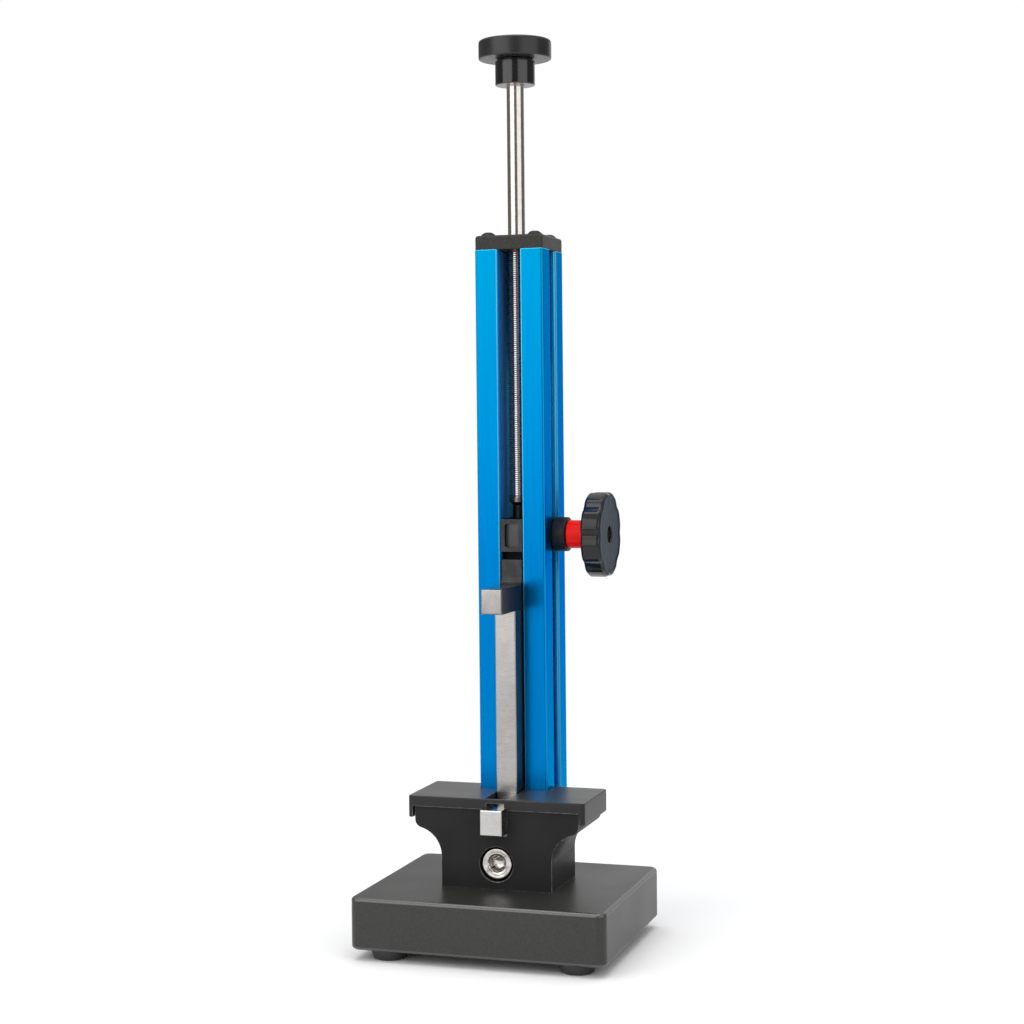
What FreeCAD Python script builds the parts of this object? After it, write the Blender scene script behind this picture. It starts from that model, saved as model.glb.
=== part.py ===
import FreeCAD, Part
import math
import os

# Bore gauge setter, in millimetres. +X is to the right, +Y to the back, +Z up.
# The origin is on the surface that the feet stand on, under the middle of the base plate.

# Base plate and its feet
base_width = 108.0
base_depth = 90.0
base_height = 21.5
base_corner_radius = 4.0
base_edge_radius = 1.6
foot_diameter = 15.6
foot_height = 4.5
foot_edge_radius = 1.2
foot_inset_x = 14.0
foot_inset_y = 10.0

# Pedestal, whose outline is extruded from front to back
pedestal_top_width = 71.2
pedestal_flank_step = 11.6
pedestal_height = 33.3
pedestal_depth = 34.5
pedestal_brow = 5.7
brow_radius = 3.5
waist_turn = 76.0
column_notch_depth = 10.0
notch_clearance = 0.1

# Table plate, a saddle over the top of the pedestal
table_thickness = 4.4
table_front_overhang = 1.0
table_lip_thickness = 2.1
table_lip_gap = 0.55
table_lip_drop = 4.7
table_corner_radius = 1.5
table_edge_radius = 0.6
bridge_thickness = 1.3
bridge_height = 1.8
window_width = 7.6

# Column extrusion
column_size = 30.0
column_length = 266.0
column_back_gap = 6.5
column_corner_radius = 1.0
front_slot_width = 10.0
front_slot_chamfer = 1.2
front_lip = 4.0
cavity_width = 14.0
cavity_back_wall = 3.5
side_groove_width = 8.2
side_groove_chamfer = 0.8
side_lip = 2.0
side_undercut_width = 12.4
side_undercut_depth = 3.0
corner_bore_inset = 4.7
side_window_bottom = 80.0
side_window_top = 245.0

# Jaws and the gauge block between them
jaw_width = 9.4
jaw_height = 10.6
jaw_chamfer = 0.4
jaw_recess = 3.6
lower_jaw_reach = 6.0
upper_jaw_reach = 2.0
jaw_rear_clearance = 0.3
upright_height = 10.3
upright_depth = 8.8
upright_fillet = 3.0
gauge_width = 9.0
gauge_depth = 29.8
gauge_length = 80.0
gauge_proud = 9.5
gauge_edge = 0.3

# Carriage that runs in the column
slide_clearance = 0.2
shoe_width = 9.6
shoe_height = 13.7
shoe_pocket_width = 6.0
shoe_pocket_height = 10.2
shoe_pocket_depth = 2.5
shoe_pocket_corner = 1.2
pad_width = 9.0
pad_thickness = 1.2
pad_height = 6.0
lock_axis_rise = 31.0

# Lift rod, its spring and its knob
rod_diameter = 7.4
rod_forward = 3.0
rod_exposed = 64.0
neck_diameter = 5.5
neck_engagement = 3.4
seat_diameter = 8.5
seat_height = 3.2
seat_chamfer = 1.3
seat_rise = 5.8
spring_wire = 0.45
spring_rod_clearance = 0.1
bush_diameter = 10.0
bush_flange_diameter = 12.0
bush_flange_thickness = 1.5
running_clearance = 0.05
cap_height = 6.0
cap_inset = 0.1
cap_edge_radius = 1.3
hub_diameter = 16.9
hub_height = 11.0
hub_edge = 0.4
lift_knob_diameter = 31.0
lift_knob_thickness = 8.0
lift_knob_edge = 1.2
knob_groove_depth = 0.8
knob_groove_height = 0.8
lift_insert_diameter = 10.0
lift_insert_length = 12.0
lift_insert_inset = 2.0
rod_thread_diameter = 6.0
rod_thread_length = 11.0

# Side lock
key_height = 14.0
key_clearance = 0.1
stud_diameter = 6.0
stud_end_gap = 0.4
collar_diameter = 14.6
collar_thickness = 6.0
collar_edge = 0.5
spacer_diameter = 12.0
spacer_length = 9.6
spacer_edge = 0.3
lock_knob_diameter = 36.4
lock_knob_thickness = 8.6
lobe_count = 8
flute_radius = 8.0
flute_depth = 0.95
lock_knob_edge = 1.6
lock_bore_diameter = 7.0
lock_bore_depth = 2.6
lock_insert_diameter = 10.0
stud_knob_gap = 0.4

# Fasteners, by thread diameter: head diameter and head height
m3_thread = 3.0
m3_head = 5.5
m3_head_height = 3.0
m4_thread = 4.0
m4_head = 7.0
m4_head_height = 4.0
m4_dome = 6.6
m4_dome_height = 1.75
m4_dome_socket = 2.5
m4_dome_socket_depth = 1.2
m5_thread = 5.0
m5_head = 8.5
m5_head_height = 5.0
m8_thread = 8.0
m8_head = 13.0
m8_head_height = 8.0
m8_socket = 6.0
m8_socket_depth = 4.0
m8_head_edge = 0.8
screw_clearance = 0.4
head_clearance = 0.6
head_sink = 0.5
socket_width_share = 0.75
socket_depth_share = 0.55
clamp_screw_rise = 10.5
clamp_screw_recess = 0.8
clamp_counterbore = 14.4
clamp_nut_height = 14.0
clamp_nut_thickness = 6.0
foot_screw_sink = 0.6
foot_screw_engagement = 7.0
pedestal_screw_side_inset = 7.0
pedestal_screw_inset = 6.5
pedestal_screw_engagement = 10.0
column_screw_engagement = 12.0
table_screw_side_inset = 5.6
table_screw_inset = 6.5
table_screw_head_rise = 6.3
table_screw_engagement = 3.0
set_screw_length = 10.0
set_screw_drop = 2.6
set_screw_front = 12.5
set_screw_pitch = 7.0
set_screw_socket = 2.0
set_screw_socket_depth = 4.0
cap_screw_engagement = 10.0
jaw_screw_engagement = 6.0
jaw_screw_seat = 5.0
jaw_screw_back = 5.2
jaw_pin_diameter = 2.5
jaw_pin_spread = 2.6
jaw_pin_depth = 4.0

# Heights worked out from the sizes above
base_top = foot_height + base_height
table_bottom = base_top + pedestal_height
table_top = table_bottom + table_thickness
lower_jaw_top = table_top - jaw_recess
lower_jaw_bottom = lower_jaw_top - jaw_height
upper_jaw_bottom = lower_jaw_top + gauge_length
upper_jaw_top = upper_jaw_bottom + jaw_height
upright_top = upper_jaw_top + upright_height
lock_axis_z = upper_jaw_bottom + lock_axis_rise
shoe_top = lock_axis_z + shoe_height / 2
shoe_bottom = shoe_top - shoe_height
seat_bottom = shoe_top + seat_rise
seat_top = seat_bottom + seat_height
column_top = base_top + column_length
cap_top = column_top + cap_height
hub_bottom = cap_top + rod_exposed
hub_top = hub_bottom + hub_height
knob_top = hub_top + lift_knob_thickness
insert_bottom = hub_bottom + lift_insert_inset

# Places from front to back
column_back = base_depth / 2 - column_back_gap
column_y = column_back - column_size / 2
column_front = column_back - column_size
pedestal_back = column_front + column_notch_depth
pedestal_front = pedestal_back - pedestal_depth
cavity_front = column_front + front_lip
cavity_back = column_back - cavity_back_wall
table_front = pedestal_front - table_front_overhang
jaw_back = cavity_back - jaw_rear_clearance
gauge_front = column_front - gauge_proud
rod_y = column_y - rod_forward
shoe_front = column_front + slide_clearance
body_front = cavity_front + slide_clearance
upright_back = shoe_front + upright_depth

# Widths of the pedestal and of the table that fits over it
pedestal_foot_width = pedestal_top_width - 2 * pedestal_flank_step
table_width = pedestal_top_width + 2 * (table_lip_gap + table_lip_thickness)
pedestal_screw_x = pedestal_foot_width / 2 - pedestal_screw_side_inset
table_screw_x = pedestal_top_width / 2 - table_screw_side_inset

# Places from left to right on the lock's axis
column_side = column_size / 2
collar_start = column_side + slide_clearance
spacer_start = collar_start + collar_thickness
lock_knob_start = spacer_start + spacer_length
lock_knob_end = lock_knob_start + lock_knob_thickness
carriage_side = cavity_width / 2 - slide_clearance
stud_start = neck_diameter / 2 + stud_end_gap
stud_end = lock_knob_end - lock_bore_depth - stud_knob_gap

rod_radius = rod_diameter / 2
spring_inner = rod_radius + spring_rod_clearance
corner_bore = column_size / 2 - corner_bore_inset
notch_width = column_size + 2 * notch_clearance


def vec(x, y, z):
    return FreeCAD.Vector(x, y, z)


def block(x0, x1, y0, y1, z0, z1):
    return Part.makeBox(x1 - x0, y1 - y0, z1 - z0, vec(x0, y0, z0))


def upright_cylinder(radius, x, y, z0, z1):
    return Part.makeCylinder(radius, z1 - z0, vec(x, y, z0), vec(0, 0, 1))


def depth_cylinder(radius, x, z, y0, y1):
    return Part.makeCylinder(radius, y1 - y0, vec(x, y0, z), vec(0, 1, 0))


def cross_cylinder(radius, y, z, x0, x1):
    return Part.makeCylinder(radius, x1 - x0, vec(x0, y, z), vec(1, 0, 0))


def fuse(shapes):
    result = shapes[0]
    for shape in shapes[1:]:
        result = result.fuse(shape)
    return result.removeSplitter()


def cut(shape, tools):
    for tool in tools:
        shape = shape.cut(tool)
    return shape


def edges_where(shape, test):
    return [edge for edge in shape.Edges if test(edge)]


def is_vertical(edge):
    box = edge.BoundBox
    return box.XLength < 0.001 and box.YLength < 0.001


def lies_at(edge, z):
    box = edge.BoundBox
    return abs(box.ZMin - z) < 0.001 and abs(box.ZMax - z) < 0.001


def turned(profile, y, z0=0.0):
    """Solid of revolution about the upright line through (0, y), from (radius, height) points."""
    points = [vec(radius, 0, z0 + height) for radius, height in profile]
    wire = Part.makePolygon(points + [points[0]])
    solid = Part.Face(wire).revolve(vec(0, 0, 0), vec(0, 0, 1), 360)
    solid.translate(vec(0, y, 0))
    return solid


def write(name, shapes):
    shape = shapes[0] if len(shapes) == 1 else Part.makeCompound(shapes)
    shape.exportStep("parts/%s.step" % name)
    print("%-18s solids %2d  volume %9.1f  valid %s"
          % (name, len(shape.Solids), shape.Volume, shape.isValid()))


def foot_places():
    x = base_width / 2 - foot_inset_x
    y = base_depth / 2 - foot_inset_y
    return [(sx * x, sy * y) for sx in (-1, 1) for sy in (-1, 1)]


def pedestal_screw_places():
    ys = (pedestal_front + pedestal_screw_inset, pedestal_back - column_notch_depth - pedestal_screw_inset)
    return [(sx * pedestal_screw_x, y) for sx in (-1, 1) for y in ys]


def corner_places():
    return [(sx * corner_bore, column_y + sy * corner_bore) for sx in (-1, 1) for sy in (-1, 1)]


def table_screw_places():
    ys = (pedestal_front + table_screw_inset, pedestal_back - table_screw_inset)
    return [(sx * table_screw_x, y) for sx in (-1, 1) for y in ys]


def set_screw_ys():
    return [pedestal_front + set_screw_front + i * set_screw_pitch for i in range(2)]


def head_recess(x, y, z_mouth, head, head_height):
    return upright_cylinder((head + head_clearance) / 2, x, y, z_mouth, z_mouth + head_height)


def base_plate():
    plate = block(-base_width / 2, base_width / 2, -base_depth / 2, base_depth / 2, foot_height, base_top)
    plate = plate.makeFillet(base_corner_radius, edges_where(plate, is_vertical))
    rim = edges_where(plate, lambda e: lies_at(e, base_top) or lies_at(e, foot_height))
    plate = plate.makeFillet(base_edge_radius, rim)
    cuts = []
    for x, y in foot_places():
        cuts.append(upright_cylinder(m3_thread / 2, x, y, foot_height, foot_height + foot_screw_engagement))
    for x, y in pedestal_screw_places():
        cuts.append(head_recess(x, y, foot_height, m5_head, m5_head_height + head_sink))
        cuts.append(upright_cylinder((m5_thread + screw_clearance) / 2, x, y, foot_height, base_top))
    for x, y in corner_places():
        cuts.append(head_recess(x, y, foot_height, m4_head, m4_head_height + head_sink))
        cuts.append(upright_cylinder((m4_thread + screw_clearance) / 2, x, y, foot_height, base_top))
    return cut(plate, cuts)


def rubber_feet():
    recess = m3_head_height + foot_screw_sink
    feet = []
    for x, y in foot_places():
        foot = upright_cylinder(foot_diameter / 2, x, y, 0, foot_height)
        foot = foot.makeFillet(foot_edge_radius, edges_where(foot, lambda e: lies_at(e, 0)))
        foot = foot.cut(upright_cylinder((m3_head + head_clearance) / 2, x, y, 0, recess))
        foot = foot.cut(upright_cylinder(m3_thread / 2, x, y, 0, foot_height))
        feet.append(foot)
    return feet


def socket_screw_up(x, y, z_head, thread, head, head_height, length):
    """Socket-head screw that points up, with its hexagon socket at z_head."""
    body = upright_cylinder(head / 2, x, y, z_head, z_head + head_height)
    shank = upright_cylinder(thread / 2, x, y, z_head + head_height, z_head + head_height + length)
    socket = hexagon_prism(thread * socket_width_share, head_height * socket_depth_share)
    socket.translate(vec(x, y, z_head))
    return body.fuse(shank).removeSplitter().cut(socket)


def hexagon_prism(across_flats, height):
    radius = across_flats / 2 / math.cos(math.pi / 6)
    turns = [i * math.pi / 3 for i in range(7)]
    points = [vec(radius * math.cos(turn), radius * math.sin(turn), 0) for turn in turns]
    return Part.Face(Part.makePolygon(points)).extrude(vec(0, 0, height))


def foot_screws():
    length = foot_height - foot_screw_sink - m3_head_height + foot_screw_engagement
    return [socket_screw_up(x, y, foot_screw_sink, m3_thread, m3_head, m3_head_height, length)
            for x, y in foot_places()]


def pedestal_screws():
    head_z = foot_height + head_sink
    length = base_top - head_z - m5_head_height + pedestal_screw_engagement
    return [socket_screw_up(x, y, head_z, m5_thread, m5_head, m5_head_height, length)
            for x, y in pedestal_screw_places()]


def column_screws():
    head_z = foot_height + head_sink
    length = base_top - head_z - m4_head_height + column_screw_engagement
    return [socket_screw_up(x, y, head_z, m4_thread, m4_head, m4_head_height, length)
            for x, y in corner_places()]


def waist_radius():
    """Radius of the hollow arc, so that both arcs together step from the brow in to the waist."""
    step = (pedestal_top_width - pedestal_foot_width) / 2
    return step / (1 - math.cos(math.radians(waist_turn))) - brow_radius


def pedestal_outline():
    """Anvil outline in the XZ plane: upright brow, round shoulder, hollow flank, upright foot."""
    turn = math.radians(waist_turn)
    hollow = waist_radius()
    top_x = pedestal_top_width / 2
    foot_x = pedestal_foot_width / 2
    brow_z = table_bottom - pedestal_brow
    join_x = top_x - brow_radius * (1 - math.cos(turn))
    join_z = brow_z - brow_radius * math.sin(turn)
    waist_z = join_z - hollow * math.sin(turn)
    half = turn / 2
    brow_mid = (top_x - brow_radius * (1 - math.cos(half)), brow_z - brow_radius * math.sin(half))
    hollow_mid = (foot_x + hollow * (1 - math.cos(half)), waist_z + hollow * math.sin(half))

    def side(sign):
        def at(x, z):
            return vec(sign * x, 0, z)
        return [Part.LineSegment(at(top_x, table_bottom), at(top_x, brow_z)).toShape(),
                Part.Arc(at(top_x, brow_z), at(*brow_mid), at(join_x, join_z)).toShape(),
                Part.Arc(at(join_x, join_z), at(*hollow_mid), at(foot_x, waist_z)).toShape(),
                Part.LineSegment(at(foot_x, waist_z), at(foot_x, base_top)).toShape()]

    top = Part.LineSegment(vec(-top_x, 0, table_bottom), vec(top_x, 0, table_bottom)).toShape()
    bottom = Part.LineSegment(vec(-foot_x, 0, base_top), vec(foot_x, 0, base_top)).toShape()
    edges = [top] + side(1) + [bottom] + side(-1)
    return Part.Wire(Part.sortEdges(edges)[0])


def pedestal():
    body = Part.Face(pedestal_outline()).extrude(vec(0, pedestal_depth, 0))
    body.translate(vec(0, pedestal_front, 0))
    screw_z = base_top + clamp_screw_rise
    head_seat = pedestal_front + clamp_screw_recess + m8_head_height
    jaw_slack = running_clearance
    cuts = [block(-notch_width / 2, notch_width / 2, column_front, pedestal_back, base_top, table_bottom),
            block(-jaw_width / 2 - jaw_slack, jaw_width / 2 + jaw_slack, pedestal_front, pedestal_back,
                  lower_jaw_bottom, table_bottom),
            depth_cylinder(clamp_counterbore / 2, 0, screw_z, pedestal_front, head_seat),
            depth_cylinder((m8_thread + screw_clearance) / 2, 0, screw_z, pedestal_front, pedestal_back)]
    for x, y in pedestal_screw_places():
        cuts.append(upright_cylinder(m5_thread / 2, x, y, base_top, base_top + pedestal_screw_engagement))
    for x, y in table_screw_places():
        seat = table_bottom - table_screw_head_rise
        cuts.append(upright_cylinder((m3_head + head_clearance) / 2, x, y, base_top, seat))
        cuts.append(upright_cylinder((m3_thread + screw_clearance) / 2, x, y, seat, table_bottom))
    for y in set_screw_ys():
        z = table_bottom - set_screw_drop
        cuts.append(cross_cylinder(m4_thread / 2, y, z, -pedestal_top_width / 2, -jaw_width / 2))
    return cut(body, cuts)


def table_plate():
    x = table_width / 2
    lip_bottom = table_bottom - table_lip_drop
    plate = block(-x, x, table_front, pedestal_back, lip_bottom, table_top)
    plate = plate.makeFillet(table_corner_radius, edges_where(plate, is_vertical))
    plate = plate.makeFillet(table_edge_radius, edges_where(plate, lambda e: lies_at(e, table_top)))
    inner = x - table_lip_thickness
    slot = jaw_width / 2 + slide_clearance
    bridge_back = table_front + bridge_thickness
    cuts = [block(-inner, inner, table_front, pedestal_back, lip_bottom, table_bottom),
            block(-notch_width / 2, notch_width / 2, column_front - notch_clearance, pedestal_back,
                  lip_bottom, table_top),
            block(-slot, slot, bridge_back, pedestal_back, table_bottom, table_top),
            block(-slot, slot, table_front, bridge_back, table_bottom, lower_jaw_top + running_clearance),
            block(-window_width / 2, window_width / 2, table_front, bridge_back,
                  table_bottom, table_top - bridge_height)]
    hole_top = table_bottom + table_screw_engagement
    for x, y in table_screw_places():
        cuts.append(upright_cylinder(m3_thread / 2, x, y, table_bottom, hole_top))
    return cut(plate, cuts)


def table_screws():
    head_z = table_bottom - table_screw_head_rise - m3_head_height
    length = table_screw_head_rise + table_screw_engagement
    return [socket_screw_up(x, y, head_z, m3_thread, m3_head, m3_head_height, length)
            for x, y in table_screw_places()]


def jaw_bar(y0, y1, z0):
    bar = block(-jaw_width / 2, jaw_width / 2, y0, y1, z0, z0 + jaw_height)
    ends = edges_where(bar, lambda e: e.BoundBox.YLength < 0.001 and abs(e.BoundBox.YMin - y0) < 0.001)
    return bar.makeChamfer(jaw_chamfer, ends)


def lower_jaw():
    return jaw_bar(table_front - lower_jaw_reach, jaw_back, lower_jaw_bottom)


def jaw_set_screws():
    screws = []
    for y in set_screw_ys():
        x = -jaw_width / 2
        screw = cross_cylinder(m4_thread / 2, y, table_bottom - set_screw_drop, x - set_screw_length, x)
        socket = hexagon_prism(set_screw_socket, set_screw_socket_depth)
        socket.rotate(vec(0, 0, 0), vec(0, 1, 0), 90)
        socket.translate(vec(x - set_screw_length, y, table_bottom - set_screw_drop))
        screws.append(screw.cut(socket))
    return screws


def gauge_block():
    bar = block(-gauge_width / 2, gauge_width / 2, gauge_front, gauge_front + gauge_depth,
                lower_jaw_top, upper_jaw_bottom)
    return bar.makeChamfer(gauge_edge, edges_where(bar, is_vertical))


def column_section():
    """Closed outline of the extrusion: corner radii, open front slot and one groove on each side."""
    outer = column_size / 2
    section = block(-outer, outer, column_front, column_back, 0, column_length)
    section = section.makeFillet(column_corner_radius, edges_where(section, is_vertical))
    mouth = front_slot_width / 2
    flare = mouth + front_slot_chamfer
    front_flare = [vec(-flare, column_front, 0), vec(flare, column_front, 0),
                   vec(mouth, column_front + front_slot_chamfer, 0),
                   vec(-mouth, column_front + front_slot_chamfer, 0)]
    groove = side_groove_width / 2
    groove_flare = groove + side_groove_chamfer
    undercut_x = outer - side_lip - side_undercut_depth
    cuts = [block(-mouth, mouth, column_front, cavity_back, 0, column_length),
            block(-cavity_width / 2, cavity_width / 2, cavity_front, cavity_back, 0, column_length),
            Part.Face(Part.makePolygon(front_flare + [front_flare[0]])).extrude(vec(0, 0, column_length))]
    for side in (-1, 1):
        xs = sorted((side * undercut_x, side * (outer - side_lip)))
        cuts.append(block(xs[0], xs[1], column_y - side_undercut_width / 2,
                          column_y + side_undercut_width / 2, 0, column_length))
        xs = sorted((side * undercut_x, side * outer))
        cuts.append(block(xs[0], xs[1], column_y - groove, column_y + groove, 0, column_length))
        flare_points = [vec(side * outer, column_y - groove_flare, 0),
                        vec(side * outer, column_y + groove_flare, 0),
                        vec(side * (outer - side_groove_chamfer), column_y + groove, 0),
                        vec(side * (outer - side_groove_chamfer), column_y - groove, 0)]
        face = Part.Face(Part.makePolygon(flare_points + [flare_points[0]]))
        cuts.append(face.extrude(vec(0, 0, column_length)))
    return cut(section, cuts)


def column():
    body = column_section()
    body.translate(vec(0, 0, base_top))
    cuts = [upright_cylinder(m4_thread / 2, x, y, base_top, column_top) for x, y in corner_places()]
    groove = side_groove_width / 2
    cuts.append(block(0, column_size / 2, column_y - groove, column_y + groove,
                      side_window_bottom, side_window_top))
    return cut(body, cuts)


def clamp_screw():
    z = base_top + clamp_screw_rise
    y0 = pedestal_front + clamp_screw_recess
    seat = y0 + m8_head_height
    head = depth_cylinder(m8_head / 2, 0, z, y0, seat)
    head = head.makeFillet(m8_head_edge, edges_where(head, lambda e: abs(e.BoundBox.YMax - y0) < 0.001))
    shank = depth_cylinder(m8_thread / 2, 0, z, seat, cavity_front + clamp_nut_thickness)
    socket = hexagon_prism(m8_socket, m8_socket_depth)
    socket.rotate(vec(0, 0, 0), vec(1, 0, 0), -90)
    socket.translate(vec(0, y0, z))
    return head.fuse(shank).removeSplitter().cut(socket)


def clamp_nut():
    z = base_top + clamp_screw_rise
    nut = block(-carriage_side, carriage_side, cavity_front, cavity_front + clamp_nut_thickness,
                z - clamp_nut_height / 2, z + clamp_nut_height / 2)
    return nut.cut(depth_cylinder(m8_thread / 2, 0, z, cavity_front, cavity_front + clamp_nut_thickness))


def top_cap():
    x = column_size / 2 - cap_inset
    cap = block(-x, x, column_y - x, column_y + x, column_top, cap_top)
    cap = cap.makeFillet(column_corner_radius, edges_where(cap, is_vertical))
    cap = cap.makeFillet(cap_edge_radius, edges_where(cap, lambda e: lies_at(e, cap_top)))
    flange_top = column_top + bush_flange_thickness
    cuts = [upright_cylinder(bush_diameter / 2, 0, rod_y, column_top, cap_top),
            upright_cylinder(bush_flange_diameter / 2, 0, rod_y, column_top, flange_top)]
    for x, y in corner_places():
        cuts.append(upright_cylinder((m4_thread + screw_clearance) / 2, x, y, column_top, cap_top))
    return cut(cap, cuts)


def cap_screws():
    screws = []
    for x, y in corner_places():
        radius = m4_dome / 2
        sphere_radius = (radius ** 2 + m4_dome_height ** 2) / (2 * m4_dome_height)
        ball = Part.makeSphere(sphere_radius, vec(x, y, cap_top + m4_dome_height - sphere_radius))
        head = ball.common(upright_cylinder(radius, x, y, cap_top, cap_top + m4_dome_height))
        shank = upright_cylinder(m4_thread / 2, x, y, column_top - cap_screw_engagement, cap_top)
        socket = hexagon_prism(m4_dome_socket, m4_dome_socket_depth)
        socket.translate(vec(x, y, cap_top + m4_dome_height - m4_dome_socket_depth))
        screws.append(head.fuse(shank).removeSplitter().cut(socket))
    return screws


def rod_bush():
    """Bush of the lift rod, with its flange let into the underside of the cap to take the spring's push."""
    outer = bush_diameter / 2
    flange = bush_flange_diameter / 2
    bore = rod_radius + running_clearance
    return turned([(bore, 0), (flange, 0), (flange, bush_flange_thickness), (outer, bush_flange_thickness),
                   (outer, cap_height), (bore, cap_height)], rod_y, column_top)


def lift_rod():
    neck_bottom = shoe_top - neck_engagement
    neck = neck_diameter / 2
    thread = rod_thread_diameter / 2
    profile = [(0, neck_bottom), (neck, neck_bottom), (neck, seat_top), (rod_radius, seat_top),
               (rod_radius, insert_bottom), (thread, insert_bottom),
               (thread, insert_bottom + rod_thread_length), (0, insert_bottom + rod_thread_length)]
    return turned(profile, rod_y)


def spring_seat():
    outer = seat_diameter / 2
    neck = neck_diameter / 2
    return turned([(neck, 0), (outer - seat_chamfer, 0), (outer, seat_chamfer), (outer, seat_height),
                   (neck, seat_height)], rod_y, seat_bottom)


def lift_spring():
    """Closely wound spring, as the sleeve that its coils fill."""
    outer = spring_inner + spring_wire
    return turned([(spring_inner, seat_top), (outer, seat_top), (outer, column_top),
                   (spring_inner, column_top)], rod_y)


def lift_knob():
    hub = hub_diameter / 2
    disc = lift_knob_diameter / 2
    bore = rod_radius + running_clearance
    insert = lift_insert_diameter / 2
    groove = hub - knob_groove_depth
    edge = lift_knob_edge
    low_edge = edge / 2
    insert_top = insert_bottom + lift_insert_length
    profile = [(bore, hub_bottom), (hub - hub_edge, hub_bottom), (hub, hub_bottom + hub_edge),
               (hub, hub_top - knob_groove_height), (groove, hub_top - knob_groove_height),
               (groove, hub_top), (disc - low_edge, hub_top), (disc, hub_top + low_edge),
               (disc, knob_top - edge), (disc - edge * 0.3, knob_top - edge * 0.3), (disc - edge, knob_top),
               (0, knob_top), (0, insert_top), (insert, insert_top), (insert, insert_bottom),
               (bore, insert_bottom)]
    return turned(profile, rod_y)


def lift_knob_insert():
    outer = lift_insert_diameter / 2
    thread = rod_thread_diameter / 2
    return turned([(thread, 0), (outer, 0), (outer, lift_insert_length), (0, lift_insert_length),
                   (0, rod_thread_length), (thread, rod_thread_length)], rod_y, insert_bottom)


def carriage():
    tall = block(-carriage_side, carriage_side, upright_back, jaw_back, upper_jaw_top, shoe_top)
    front = block(-carriage_side, carriage_side, body_front, upright_back, upright_top, shoe_top)
    body = fuse([tall, front])
    screw_y = jaw_back - jaw_screw_back
    seat = upper_jaw_top + jaw_screw_seat
    cuts = [upright_cylinder(neck_diameter / 2, 0, rod_y, shoe_top - neck_engagement, shoe_top),
            upright_cylinder((m4_head + head_clearance) / 2, 0, screw_y, seat, shoe_top),
            upright_cylinder((m4_thread + screw_clearance) / 2, 0, screw_y, upper_jaw_top, seat),
            cross_cylinder(stud_diameter / 2, column_y, lock_axis_z, stud_start, carriage_side)]
    for side in (-1, 1):
        cuts.append(depth_cylinder(jaw_pin_diameter / 2, side * jaw_pin_spread, pin_z(),
                                   upright_back, upright_back + jaw_pin_depth))
    cuts.append(back_pad())
    return cut(body, cuts)


def pin_z():
    return (upper_jaw_top + upright_top) / 2


def back_pad():
    """Plastic pad let into the back of the carriage, which runs on the back wall of the column."""
    z = (upper_jaw_top + shoe_top) / 2
    return block(-pad_width / 2, pad_width / 2, jaw_back - pad_thickness, cavity_back - running_clearance,
                 z - pad_height / 2, z + pad_height / 2)


def carriage_shoe():
    """Shoe that fills the front slot, with a round-cornered pocket in its front face."""
    half = shoe_width / 2
    shoe = block(-half, half, shoe_front, body_front, shoe_bottom, shoe_top)
    pocket_x = shoe_pocket_width / 2
    pocket_z = shoe_pocket_height / 2
    pocket = block(-pocket_x, pocket_x, shoe_front, shoe_front + shoe_pocket_depth,
                   lock_axis_z - pocket_z, lock_axis_z + pocket_z)
    corners = edges_where(pocket, lambda e: e.BoundBox.XLength < 0.001 and e.BoundBox.ZLength < 0.001)
    return shoe.cut(pocket.makeFillet(shoe_pocket_corner, corners))


def upper_jaw():
    bar = jaw_bar(table_front - upper_jaw_reach, jaw_back, upper_jaw_bottom)
    half = jaw_width / 2
    upright = block(-half, half, shoe_front, upright_back, upper_jaw_top, upright_top)
    corner = block(-half, half, shoe_front - upright_fillet, shoe_front, upper_jaw_top,
                   upper_jaw_top + upright_fillet)
    hollow = cross_cylinder(upright_fillet, shoe_front - upright_fillet, upper_jaw_top + upright_fillet,
                            -half, half)
    body = fuse([bar, upright, corner.cut(hollow)])
    screw_y = jaw_back - jaw_screw_back
    cuts = [upright_cylinder(m4_thread / 2, 0, screw_y, upper_jaw_top - jaw_screw_engagement, upper_jaw_top)]
    for side in (-1, 1):
        cuts.append(depth_cylinder(jaw_pin_diameter / 2, side * jaw_pin_spread, pin_z(),
                                   upright_back - jaw_pin_depth, upright_back))
    return cut(body, cuts)


def upper_jaw_screw():
    screw_y = jaw_back - jaw_screw_back
    seat = upper_jaw_top + jaw_screw_seat
    head = upright_cylinder(m4_head / 2, 0, screw_y, seat, seat + m4_head_height)
    shank = upright_cylinder(m4_thread / 2, 0, screw_y, upper_jaw_top - jaw_screw_engagement, seat)
    depth = m4_head_height * socket_depth_share
    socket = hexagon_prism(m4_thread * socket_width_share, depth)
    socket.translate(vec(0, screw_y, seat + m4_head_height - depth))
    return head.fuse(shank).removeSplitter().cut(socket)


def upper_jaw_pins():
    return [depth_cylinder(jaw_pin_diameter / 2, side * jaw_pin_spread, pin_z(),
                           upright_back - jaw_pin_depth, upright_back + jaw_pin_depth) for side in (-1, 1)]


def side_key():
    half = side_groove_width / 2 - key_clearance
    key = block(carriage_side, collar_start, column_y - half, column_y + half,
                lock_axis_z - key_height / 2, lock_axis_z + key_height / 2)
    return key.cut(cross_cylinder(stud_diameter / 2, column_y, lock_axis_z, carriage_side, collar_start))


def lock_stud():
    return cross_cylinder(stud_diameter / 2, column_y, lock_axis_z, stud_start, stud_end)


def lock_ring(outer_diameter, x0, x1, edge):
    ring = cross_cylinder(outer_diameter / 2, column_y, lock_axis_z, x0, x1)
    ring = ring.makeChamfer(edge, edges_where(ring, lambda e: e.BoundBox.XLength < 0.001))
    return ring.cut(cross_cylinder(stud_diameter / 2 + running_clearance, column_y, lock_axis_z, x0, x1))


def lock_collar():
    return lock_ring(collar_diameter, collar_start, spacer_start, collar_edge)


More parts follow.
